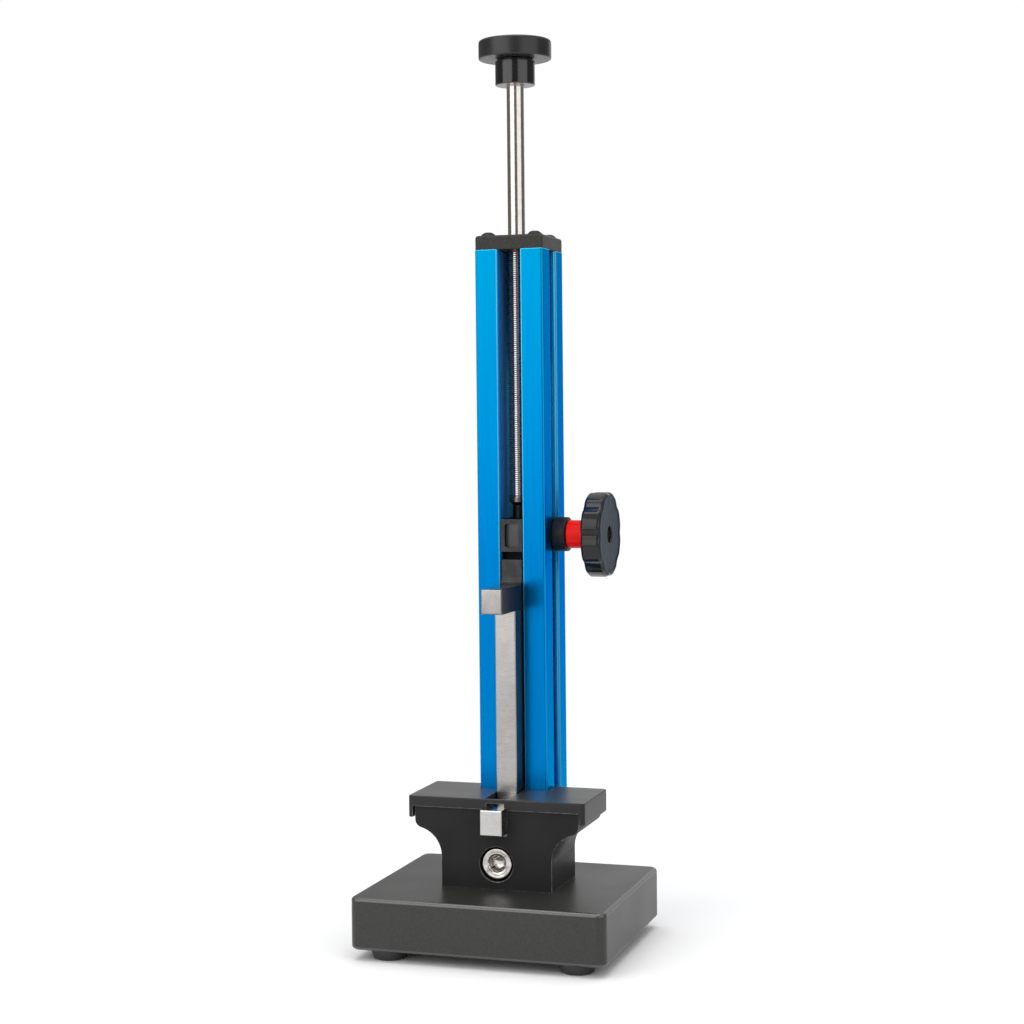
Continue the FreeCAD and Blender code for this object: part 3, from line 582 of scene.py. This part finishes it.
class SETTER_OT_column(bpy.types.Operator):
    """Builds the slotted column, its cap with the cap screws, and the lift rod's bush"""
    bl_idname = "setter.column"
    bl_label = "Column"

    def execute(self, context):
        look = context.scene.setter_finish
        place_piece(self.extrusion(look), "Column", "stand", ["column"], self.finishes(look),
                    look.edge_break * 1.5, True)
        # Painted light: the cap has the base's powder coat at 1.8 times its tint, lighter for how it is lit.
        coat = powder_coat("Cap coat painted light", Vector(look.coat_tint) * 1.8, look.coat_grain, 0.05)
        place_piece(cad_copy("top_cap"), "Top_cap", "stand", ["top_cap"], [coat], look.edge_break)
        for node, finish in (("cap_screws", black_oxide("Cap screw black")),
                             ("rod_bush", bronze("Bush bronze"))):
            place_piece(cad_copy(node), node.capitalize(), "stand", [node], [finish], look.edge_break * 0.7)
        return {"FINISHED"}

    @staticmethod
    def finishes(look):
        """Blue of the outside, the grooves, cavity, chamfers, sides, slot and edges, in that order. The
        grooves, cavity, sides and slot get copies of that blue set to how brightly each is lit, which is
        painted light, and the edges get a painted highlight.
        """
        low, halfway, high = (Vector(tint) for tint in (look.column_foot_tint_painted_light, look.column_middle_tint_painted_light,
                                                        look.column_top_tint_painted_light))
        glance = (0.05, 0.45, 0.85)
        rise = span("column", "Z")
        return [
            # Painted light: the outside's blue runs through the foot, middle and top tints, lighter at both
            # ends than halfway.
            anodised("Blue anodised", low, high, 0.3, "Z", 1.0, glance=glance, rise=rise, middle=halfway),
            # Painted light: the grooves, cavity, sides and slot get copies of the column's blue, each set to
            # how brightly it is lit there.
            anodised("Blue in the grooves painted light", low * 1.3, high * 1.3, 0.42, "Z", 0.3, glance=glance, rise=rise),
            anodised("Blue in the cavity painted light", (0.08, 0.43, 0.8), (0.1, 0.43, 0.78), 0.35, "Z", rise=rise),
            anodised("Blue chamfer", low, high, 0.4, "Z", 0.3, rise=rise),
            anodised("Blue side painted light", (0.03, 0.42, 0.62), high * 1.5, 0.34, "Z", 1.0, glance=glance, rise=rise,
                     middle=halfway * 1.75),
            anodised("Blue in the slot painted light", (0.0, 0.15, 0.6), (0.0, 0.17, 0.66), 0.45, "Z", 0.1, rise=rise),
            # Painted highlight: the bevelled edges are a lighter blue that brightens towards the top.
            anodised("Blue edge painted highlight", (0.01, 0.3, 0.62), (0.08, 0.58, 0.85), 0.3, "Z", 0.35, rise=rise),
        ]

    @staticmethod
    def extrusion(look):
        """Column whose slot has a finer chamfer than the solid's, with each face's finish chosen."""
        outside, groove, cavity, chamfer, side, slot = range(6)
        slot_reach, cavity_reach, solid_chamfer = 0.0065, 0.0075, 0.0012
        bm = cad_copy("column")
        low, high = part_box("column")
        lips = [vert for vert in bm.verts
                if abs(vert.co.x) < slot_reach and vert.co.y < low[1] + solid_chamfer + HAIR]
        mouth = min(abs(vert.co.x) for vert in lips)
        for vert in lips:
            if vert.co.y < low[1] + HAIR:
                vert.co.x = math.copysign(mouth + look.slot_chamfer, vert.co.x)
            else:
                vert.co.y = low[1] + look.slot_chamfer
        bm.normal_update()
        for face in bm.faces:
            spot, normal = face.calc_center_median(), face.normal
            if abs(spot.x) > high[0] - HAIR:
                face.material_index = side
            elif spot.y < low[1] + HAIR or spot.y > high[1] - HAIR or abs(normal.z) > 0.5:
                face.material_index = outside
            elif abs(abs(normal.x) - abs(normal.y)) < 0.02:
                face.material_index = chamfer
            elif abs(spot.x) < mouth + HAIR and abs(normal.x) > FACING:
                face.material_index = slot
            else:
                face.material_index = cavity if abs(spot.x) < cavity_reach else groove
        return bm


class SETTER_OT_jaws(bpy.types.Operator):
    """Builds both jaws and the gauge block between them"""
    bl_idname = "setter.jaws"
    bl_label = "Jaws and gauge block"

    def execute(self, context):
        look = context.scene.setter_finish
        block = cad_copy("gauge_block")
        # Painted shade: the block's sides facing along X get a much darker copy of its steel.
        finish_faces(block, 1, lambda face: abs(face.normal.x) > FACING)
        block_steel = steel("Gauge block steel", (0.39, 0.375, 0.36), (0.44, 0.425, 0.41), 0.24, "X",
                            depth=0.000003)
        flank_steel_painted_shade = steel("Gauge block flank painted shade", (0.14, 0.14, 0.145), (0.18, 0.18, 0.185), 0.3, "Z",
                            depth=0.000004)
        place_piece(block, "Gauge_block", "stand", ["gauge_block"], [block_steel, flank_steel_painted_shade],
                    look.edge_break)
        lower = cad_copy("lower_jaw")
        finish_faces(lower, 1, lambda face: face.normal.z > FACING)
        # Painted light: the lower jaw's steel is a lighter copy of the upper jaw's, for the light it catches
        # from the floor.
        dull, bright = (0.49, 0.475, 0.462), (0.55, 0.537, 0.525)
        lower_jaw_end_painted_light = steel("Lower jaw steel painted light", dull, bright, 0.24, "X", depth=0.000003)
        lower_jaw_top_painted_light = steel("Lower jaw top painted light", dull, bright, 0.1, "X", depth=0.000001)
        place_piece(lower, "Lower_jaw", "stand", ["lower_jaw"], [lower_jaw_end_painted_light, lower_jaw_top_painted_light], look.edge_break)
        upper = cad_copy("upper_jaw")
        upright_foot = span("carriage", "Z")[0] + 0.0004
        finish_faces(upper, 1, lambda face: face.calc_center_median().z > upright_foot)
        jaw_steel = steel("Jaw steel", (0.28, 0.27, 0.257), (0.36, 0.347, 0.333), 0.19, "Y", depth=0.000004)
        place_piece(upper, "Upper_jaw", "carriage", ["upper_jaw"],
                    [jaw_steel, light_oxide("Upright black oxide", "X")], look.edge_break * 2.2)
        return {"FINISHED"}


class SETTER_OT_carriage(bpy.types.Operator):
    """Builds the carriage in the column, with its shoe, pad, key and the fasteners of the upper jaw"""
    bl_idname = "setter.carriage"
    bl_label = "Carriage"

    def execute(self, context):
        look = context.scene.setter_finish
        # Painted shade: the carriage body and side key are darker than the other black oxide, for the shade
        # inside the column.
        carriage_black_painted_shade = steel("Carriage inner black painted shade", (0.006, 0.006, 0.006), (0.012, 0.012, 0.012), 0.55, "Z")
        edge = worn("Carriage edge", (0.05, 0.05, 0.052), (0.14, 0.14, 0.14), 0.4, 1.0)
        fine_edge = look.edge_break * 0.7
        for node, label in (("carriage", "Carriage_body"), ("side_key", "Side_key")):
            place_piece(cad_copy(node), label, "carriage", [node], [carriage_black_painted_shade, edge], fine_edge, True)
        shoe = cad_copy("carriage_shoe")
        pocket = span("carriage_shoe", "Y")[0] + 0.0005
        finish_faces(shoe, 1, lambda face: face.normal.y < -FACING and face.calc_center_median().y > pocket)
        # Painted light: the pocket floor is a lighter copy of the shoe's black oxide, standing in for light
        # that its walls keep off.
        pocket_painted_light = steel("Shoe pocket steel painted light", (0.06, 0.06, 0.061), (0.09, 0.09, 0.092), 0.4, "Z")
        place_piece(shoe, "Carriage_shoe", "carriage", ["carriage_shoe"],
                    [light_oxide("Shoe black oxide", "Z"), pocket_painted_light, edge], fine_edge, True)
        pad = moulded("Slide pad plastic", (0.5, 0.5, 0.46), (0.6, 0.6, 0.56), 0.5, 0.0004, 0.00001)
        for node, finish in (("back_pad", pad), ("upper_jaw_pins", bright_steel("Pin steel", "Y")),
                             ("upper_jaw_screw", black_oxide("Carriage black oxide", "Z"))):
            place_piece(cad_copy(node), node.capitalize(), "carriage", [node], [finish], look.edge_break)
        return {"FINISHED"}


class SETTER_OT_lift(bpy.types.Operator):
    """Builds the lift rod, the spring with its seat, and the knob on top"""
    bl_idname = "setter.lift"
    bl_label = "Lift rod and spring"

    def execute(self, context):
        look = context.scene.setter_finish
        sizes = context.scene.setter_lift
        axis = middle("lift_rod")
        steps = look.round_steps
        self.rod(axis, steps)
        self.seat(axis, steps)
        self.spring(sizes, axis)
        self.knob(axis, steps)
        place_piece(cad_copy("lift_knob_insert"), "Lift_knob_insert", "carriage", ["lift_knob_insert"],
                    [bronze("Lift insert bronze")], look.edge_break)
        return {"FINISHED"}

    @staticmethod
    def rod(axis, steps):
        """Polished rod with a black neck under the spring and a thread for the knob."""
        low, high = span("lift_rod", "Z")
        radius = rim_radius("lift_rod", "Z")
        shoulder = span("spring_seat", "Z")[1]
        thread_start = span("lift_knob_insert", "Z")[0]
        neck = rim_radius("lift_rod", "Z", high=low + HAIR)
        thread = rim_radius("lift_rod", "Z", low=high - HAIR)
        bm = bmesh.new()
        turn(bm, soften([(0, low, 0), (neck, low, 0.0002), (neck, shoulder, 0), (radius, shoulder, 0.0001),
                         (radius, thread_start, 0.0001), (thread, thread_start, 0), (thread, high, 0.0003),
                         (0, high, 0)], closed=False), axis, "Z", steps)
        finish_faces(bm, 1, lambda face: face.calc_center_median().z < shoulder - HAIR)
        polished = turned_steel("Rod steel", (0.58, 0.545, 0.51), (0.67, 0.637, 0.605), 0.12, "Z")
        place_piece(bm, "Lift_rod", "carriage", ["lift_rod"], [polished, black_oxide("Neck black oxide")])

    @staticmethod
    def seat(axis, steps):
        """Ring under the spring, with a cone below its rim."""
        low, high = span("spring_seat", "Z")
        outer = rim_radius("spring_seat", "Z")
        under = rim_radius("spring_seat", "Z", high=low + HAIR)
        inner = min(radius for _, radius in heights_and_radii("spring_seat", "Z"))
        bm = bmesh.new()
        turn(bm, soften([(inner, low, 0), (under, low, 0.0002), (outer, low + outer - under, 0.0004),
                         (outer, high, 0.0002), (inner, high, 0)]), axis, "Z", steps)
        browned = turned_steel("Spring rest steel", (0.14, 0.12, 0.1), (0.24, 0.2, 0.17), 0.3, "Z")
        place_piece(bm, "Spring_rest", "carriage", ["spring_seat"], [browned])

    @staticmethod
    def spring(sizes, axis):
        """Round wire wound in a helix, with closed ends, between the seat and the bush."""
        low, high = span("lift_spring", "Z")
        wire = sizes.spring_wire / 2
        radius = rim_radius("lift_spring", "Z") - wire
        turns, ends = sizes.spring_turns, sizes.end_turns
        closed_rise = ends * wire * 2
        open_rise = (high - low - wire * 2 - 2 * closed_rise) / (turns - 2 * ends)
        around, across = 28, 8
        up = Vector((0, 0, 1))
        bm = bmesh.new()
        rings = []
        for i in range(turns * around + 1):
            t = i / around
            rise = (min(t, ends) * wire * 2 + min(max(t - ends, 0), turns - 2 * ends) * open_rise
                    + max(t - turns + ends, 0) * wire * 2)
            angle = 2 * math.pi * t
            out = Vector((math.cos(angle), math.sin(angle), 0))
            centre = Vector((axis.x, axis.y, low + wire + rise)) + out * radius
            rings.append([bm.verts.new(centre + wire * (math.cos(a) * out + math.sin(a) * up))
                          for a in (2 * math.pi * k / across for k in range(across))])
        for ring, other in zip(rings, rings[1:]):
            bridge(bm, ring, other)
        bm.faces.new(rings[0])
        bm.faces.new(rings[-1])
        wire_steel = turned_steel("Spring wire", (0.165, 0.11, 0.075), (0.235, 0.165, 0.118), 0.38, "Z",
                                  0.0002)
        spring = place_piece(bm, "Lift_spring", "stand", ["lift_spring"], [wire_steel])
        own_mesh(spring)

    @staticmethod
    def knob(axis, steps):
        """Thick disc on a narrower hub, with a groove turned under the disc."""
        low, high = span("lift_knob", "Z")
        points = heights_and_radii("lift_knob", "Z")
        disc = rim_radius("lift_knob", "Z")
        floor = min(place for place, radius in points if radius > disc * 0.9 and place < high - 0.004)
        hub = rim_radius("lift_knob", "Z", high=low + 0.004)
        groove = hub - 0.0008
        bore = min(radius for place, radius in points if place < low + HAIR)
        insert_low, insert_high = span("lift_knob_insert", "Z")
        insert = rim_radius("lift_knob_insert", "Z")
        bm = bmesh.new()
        turn(bm, soften([(bore, low, 0.0003), (hub, low, 0.0005), (hub, floor - 0.0008, 0.0002),
                         (groove, floor - 0.0008, 0), (groove, floor, 0),
                         (disc, floor, 0.0007), (disc, high, 0.0013), (disc - 0.0042, high, 0.0002),
                         (disc - 0.0045, high - 0.0003, 0.0002), (0, high - 0.0003, 0), (0, insert_high, 0),
                         (insert, insert_high, 0), (insert, insert_low, 0), (bore, insert_low, 0)]),
             axis, "Z", steps * 2)
        finish_faces(bm, 1, lambda face: face.calc_center_median().z < floor - HAIR)
        satin = moulded("Lift knob satin", (0.01, 0.01, 0.011), (0.016, 0.016, 0.018), 0.3, 0.00028,
                        0.00002)
        gloss = moulded("Lift knob gloss", (0.002, 0.002, 0.003), (0.004, 0.004, 0.005), 0.15, 0.0004,
                        0.000004, 0.75)
        place_piece(bm, "Lift_knob", "carriage", ["lift_knob"], [satin, gloss])


class SETTER_OT_lock(bpy.types.Operator):
    """Builds the side lock: stud, collar, spacer and lobed knob"""
    bl_idname = "setter.lock"
    bl_label = "Side lock"

    def execute(self, context):
        look = context.scene.setter_finish
        sizes = context.scene.setter_lift
        axis = middle("lock_stud")
        bore = rim_radius("lock_stud", "X") + 0.00005
        black = moulded("Collar black", (0.004, 0.004, 0.005), (0.008, 0.008, 0.009), 0.4, 0.0004, 0.00001,
                        0.25)
        red = moulded("Spacer red", Vector(look.spacer_tint) * 0.9, look.spacer_tint, 0.26, 0.0008, 0.000001,
                      0.1)
        for node, finish, corner in (("lock_collar", black, 0.0006), ("lock_spacer", red, 0.0004)):
            low, high = span(node, "X")
            outer = rim_radius(node, "X")
            bm = bmesh.new()
            turn(bm, soften([(bore, low, 0.0001), (outer, low, corner), (outer, high, corner),
                             (bore, high, 0.0001)]), axis, "X", look.round_steps)
            place_piece(bm, node.capitalize(), "carriage", [node], [finish])
        self.knob(sizes, axis)
        place_piece(cad_copy("lock_stud"), "Lock_stud", "carriage", ["lock_stud"],
                    [bright_steel("Stud steel", "X")], look.edge_break * 2)
        place_piece(cad_copy("lock_knob_insert"), "Lock_knob_insert", "lock_knob", ["lock_knob_insert"],
                    [bronze("Lock insert bronze", "X")], look.edge_break)
        return {"FINISHED"}

    @staticmethod
    def outline(sizes, radius, count):
        """Distances from the axis to the lobed rim, with the ridges between the flutes rounded."""
        reach = radius - sizes.flute_depth + sizes.flute_radius
        pitch = 2 * math.pi / sizes.lobes
        raw = []
        for i in range(count):
            angle = (2 * math.pi * i / count + pitch / 2) % pitch - pitch / 2
            aside = reach * math.sin(angle)
            distance = radius
            if abs(aside) < sizes.flute_radius:
                hollow = math.sqrt(sizes.flute_radius ** 2 - aside ** 2)
                distance = min(radius, reach * math.cos(angle) - hollow)
            raw.append(distance)
        width = max(1, count // 120)
        return [sum(raw[(i + k) % count] for k in range(-width, width + 1)) / (2 * width + 1)
                for i in range(count)]

    def knob(self, sizes, axis):
        """Lobed knob with a rounded rim, a shallow dished face and a hole at its centre.

        In a ring, a distance below zero is measured inwards from the lobed rim."""
        low, high = span("lock_knob", "X")
        count = sizes.lobes * 48
        insert = rim_radius("lock_knob_insert", "X")
        insert_end = span("lock_knob_insert", "X")[1]
        edge = sizes.rim_round
        points = heights_and_radii("lock_knob", "X", axis)
        rim = self.outline(sizes, max(radius for _, radius in points), count)
        hole = min(radius for place, radius in points if place > high - HAIR * 2)
        dish = high - 0.00025
        quarter = [math.pi / 2 * k / 5 for k in range(6)]
        rings = [(low, insert)]
        rings += [(low + edge * (1 - math.cos(a)), -edge * (1 - math.sin(a))) for a in quarter]
        rings += [(high - edge * (1 - math.cos(a)), -edge * (1 - math.sin(a))) for a in reversed(quarter)]
        rings += [(high, -edge - 0.0008), (dish, -edge - 0.0011), (dish, hole + 0.0006),
                  (high - 0.00045, hole + 0.0001), (high - 0.0007, hole), (insert_end, hole),
                  (insert_end, insert)]
        bm = bmesh.new()
        loops = []
        for x, inset in rings:
            loop = []
            for i in range(count):
                angle = 2 * math.pi * i / count
                distance = inset if inset > 0 else rim[i] + inset
                loop.append(bm.verts.new((x, axis.y - distance * math.cos(angle),
                                          axis.z + distance * math.sin(angle))))
            loops.append(loop)
        for i, loop in enumerate(loops):
            bridge(bm, loop, loops[(i + 1) % len(loops)])
        finish_faces(bm, 1, lambda face: face.calc_center_median().x > high - 0.0004)
        gloss = moulded("Lock knob gloss", (0.004, 0.004, 0.005), (0.008, 0.008, 0.01), 0.1, 0.0005,
                        0.000006, 0.4)
        # Painted reflection: the face's dark plastic is tinted blue, standing in for the blue column
        # reflected in it.
        face_painted_blue_reflection = moulded("Lock knob face painted reflection", (0.007, 0.014, 0.03), (0.013, 0.022, 0.042), 0.45,
                              0.0003, 0.00002, 0.15)
        place_piece(bm, "Lock_knob", "lock_knob", ["lock_knob"], [gloss, face_painted_blue_reflection])


class SETTER_OT_stage(bpy.types.Operator):
    """Sets up the floor, the surround, the lights and the camera"""
    bl_idname = "setter.stage"
    bl_label = "Stage"

    def execute(self, context):
        stage = context.scene.setter_stage
        context.scene.view_settings.view_transform = "Standard"
        self.floor()
        self.surround(stage.sky)
        self.light("Key light", (-0.65, -1.126, 0.6), (0, 0, 0.2), (1.44, 1.3), stage.key_power)
        self.light("Fill light", (1.07, -0.545, 0.45), (0, 0, 0.25), (1.3, 0.65), stage.fill_power)
        self.light("Top light", (0.0, -0.1, 1.5), (0, 0, 0.1), (1.2, 1.2), stage.top_power)
        self.camera(context.scene, stage)
        return {"FINISHED"}

    @staticmethod
    def floor():
        """Pale sheet under the feet that catches the shadow, and fades out into the white around it."""
        bm = bmesh.new()
        bmesh.ops.create_grid(bm, x_segments=24, y_segments=24, size=0.8)
        mesh = bpy.data.meshes.new("Floor")
        bm.to_mesh(mesh)
        bm.free()
        floor = bpy.data.objects.new("Floor", mesh)
        bpy.context.scene.collection.objects.link(floor)
        finish = Recipe("Pale floor", 0.8, shine=0.1)
        finish.colour(finish.noise(0.05, 3.0), (0.9, 0.9, 0.9), (0.92, 0.92, 0.92))
        finish.bump([(finish.noise(0.002, 2.0), 0.00002)])
        tree = finish.tree
        away = tree.nodes.new("ShaderNodeVectorMath")
        away.operation = "LENGTH"
        finish.link(finish.where, away, "Vector")
        fade = tree.nodes.new("ShaderNodeMapRange")
        fade.interpolation_type = "SMOOTHSTEP"
        fade.inputs["From Min"].default_value = 0.2
        fade.inputs["From Max"].default_value = 0.6
        finish.link(away.outputs["Value"], fade, "Value")
        clear = tree.nodes.new("ShaderNodeBsdfTransparent")
        mix = tree.nodes.new("ShaderNodeMixShader")
        finish.link(fade.outputs["Result"], mix, "Fac")
        tree.links.new(finish.shader.outputs["BSDF"], mix.inputs[1])
        tree.links.new(clear.outputs["BSDF"], mix.inputs[2])
        tree.links.new(mix.outputs["Shader"], tree.nodes["Material Output"].inputs["Surface"])
        mesh.materials.append(finish.material)

    @staticmethod
    def surround(strength):
        """White backdrop for the camera and for what shines from behind, and a dim room for the rest."""
        world = bpy.data.worlds.new("Studio")
        bpy.context.scene.world = world
        world.use_nodes = True
        tree = world.node_tree

        def math_node(operation, first, second):
            """One value worked out from two."""
            node = tree.nodes.new("ShaderNodeMath")
            node.operation = operation
            tree.links.new(first, node.inputs[0])
            tree.links.new(second, node.inputs[1])
            return node.outputs["Value"]

        def ramp(source, stops):
            """Grey levels over a value, from (place, level) stops."""
            node = tree.nodes.new("ShaderNodeValToRGB")
            for stop in stops[2:]:
                node.color_ramp.elements.new(stop[0])
            for element, (place, level) in zip(node.color_ramp.elements, stops):
                element.position = place
                element.color = (level, level, level, 1.0)
            tree.links.new(source, node.inputs["Fac"])
            return node.outputs["Color"]

        where = tree.nodes.new("ShaderNodeTexCoord")
        split = tree.nodes.new("ShaderNodeSeparateXYZ")
        tree.links.new(where.outputs["Generated"], split.inputs["Vector"])
        height = tree.nodes.new("ShaderNodeMapRange")
        height.inputs["From Min"].default_value = -1.0
        tree.links.new(split.outputs["Z"], height.inputs["Value"])
        room = ramp(height.outputs["Result"],
                    ((0.0, 0.85), (0.47, 0.7), (0.5, 0.14), (0.62, 0.2), (0.85, 0.9)))
        behind = ramp(split.outputs["Y"], ((0.87, 0.0), (0.98, 1.0)))
        lit = tree.nodes.new("ShaderNodeBackground")
        lit.inputs["Strength"].default_value = strength
        tree.links.new(math_node("MAXIMUM", room, behind), lit.inputs["Color"])
        seen = tree.nodes["Background"]
        seen.inputs["Color"].default_value = (1.0, 1.0, 1.0, 1.0)
        seen.inputs["Strength"].default_value = 1.0
        path = tree.nodes.new("ShaderNodeLightPath")
        plain = math_node("MAXIMUM", path.outputs["Is Camera Ray"], path.outputs["Is Transmission Ray"])
        mirrored = math_node("MULTIPLY", path.outputs["Is Glossy Ray"], behind)
        mix = tree.nodes.new("ShaderNodeMixShader")
        tree.links.new(math_node("MAXIMUM", plain, mirrored), mix.inputs["Fac"])
        tree.links.new(lit.outputs["Background"], mix.inputs[1])
        tree.links.new(seen.outputs["Background"], mix.inputs[2])
        tree.links.new(mix.outputs["Shader"], tree.nodes["World Output"].inputs["Surface"])

    @staticmethod
    def light(name, place, target, size, power):
        """Rectangular lamp at a place, turned towards its target."""
        lamp = bpy.data.lights.new(name, "AREA")
        lamp.shape = "RECTANGLE"
        lamp.size, lamp.size_y = size
        lamp.energy = power
        holder = bpy.data.objects.new(name, lamp)
        holder.location = place
        holder.rotation_euler = (Vector(target) - Vector(place)).to_track_quat("-Z", "Y").to_euler()
        bpy.context.scene.collection.objects.link(holder)

    @staticmethod
    def camera(scene, stage):
        """Camera at the photograph's place: right and down directions, then the lean between them."""
        data = bpy.data.cameras.new("Camera")
        data.lens = stage.lens
        data.sensor_width = 36.0
        data.shift_x, data.shift_y = stage.shift
        azimuth, pitch, roll = stage.azimuth, stage.pitch, stage.roll
        forward = Vector((-math.sin(azimuth) * math.cos(pitch), math.cos(azimuth) * math.cos(pitch),
                          -math.sin(pitch)))
        right = Vector((math.cos(azimuth), math.sin(azimuth), 0.0))
        down = forward.cross(right)
        leaned_right = right * math.cos(roll) + down * math.sin(roll)
        leaned_down = down * math.cos(roll) - right * math.sin(roll)
        turn_matrix = Matrix((leaned_right, -leaned_down, -forward)).transposed()
        camera = bpy.data.objects.new("Camera", data)
        camera.matrix_world = Matrix.Translation(stage.camera_place) @ turn_matrix.to_4x4()
        scene.collection.objects.link(camera)
        scene.camera = camera


BUILD_ORDER = (SETTER_OT_base, SETTER_OT_pedestal, SETTER_OT_column, SETTER_OT_jaws, SETTER_OT_carriage,
               SETTER_OT_lift, SETTER_OT_lock, SETTER_OT_stage)


class SETTER_PT_panel(bpy.types.Panel):
    """Sizes, finishes and build steps of the bore gauge setter"""
    bl_idname = "SETTER_PT_panel"
    bl_label = "Bore Gauge Setter"
    bl_space_type = "VIEW_3D"
    bl_region_type = "UI"
    bl_category = "Setter"

    def draw(self, context):
        layout = self.layout
        layout.use_property_split = True
        scene = context.scene
        for label, group in (("Finish", scene.setter_finish), ("Lift and lock", scene.setter_lift),
                             ("Stage", scene.setter_stage)):
            box = layout.box()
            box.label(text=label)
            for name in type(group).__annotations__:
                box.prop(group, name)
        steps = layout.column(align=True)
        for operator in BUILD_ORDER:
            steps.operator(operator.bl_idname)


CLASSES = (SetterFinish, SetterLift, SetterStage, *BUILD_ORDER, SETTER_PT_panel)


def register():
    for item in CLASSES:
        bpy.utils.register_class(item)
    bpy.types.Scene.setter_finish = bpy.props.PointerProperty(type=SetterFinish)
    bpy.types.Scene.setter_lift = bpy.props.PointerProperty(type=SetterLift)
    bpy.types.Scene.setter_stage = bpy.props.PointerProperty(type=SetterStage)


def unregister():
    del bpy.types.Scene.setter_stage
    del bpy.types.Scene.setter_lift
    del bpy.types.Scene.setter_finish
    for item in reversed(CLASSES):
        bpy.utils.unregister_class(item)


def main():
    """Builds everything in order."""
    register()
    for operator in BUILD_ORDER:
        getattr(bpy.ops.setter, operator.bl_idname.removeprefix("setter."))()


if __name__ == "__main__":
    main()
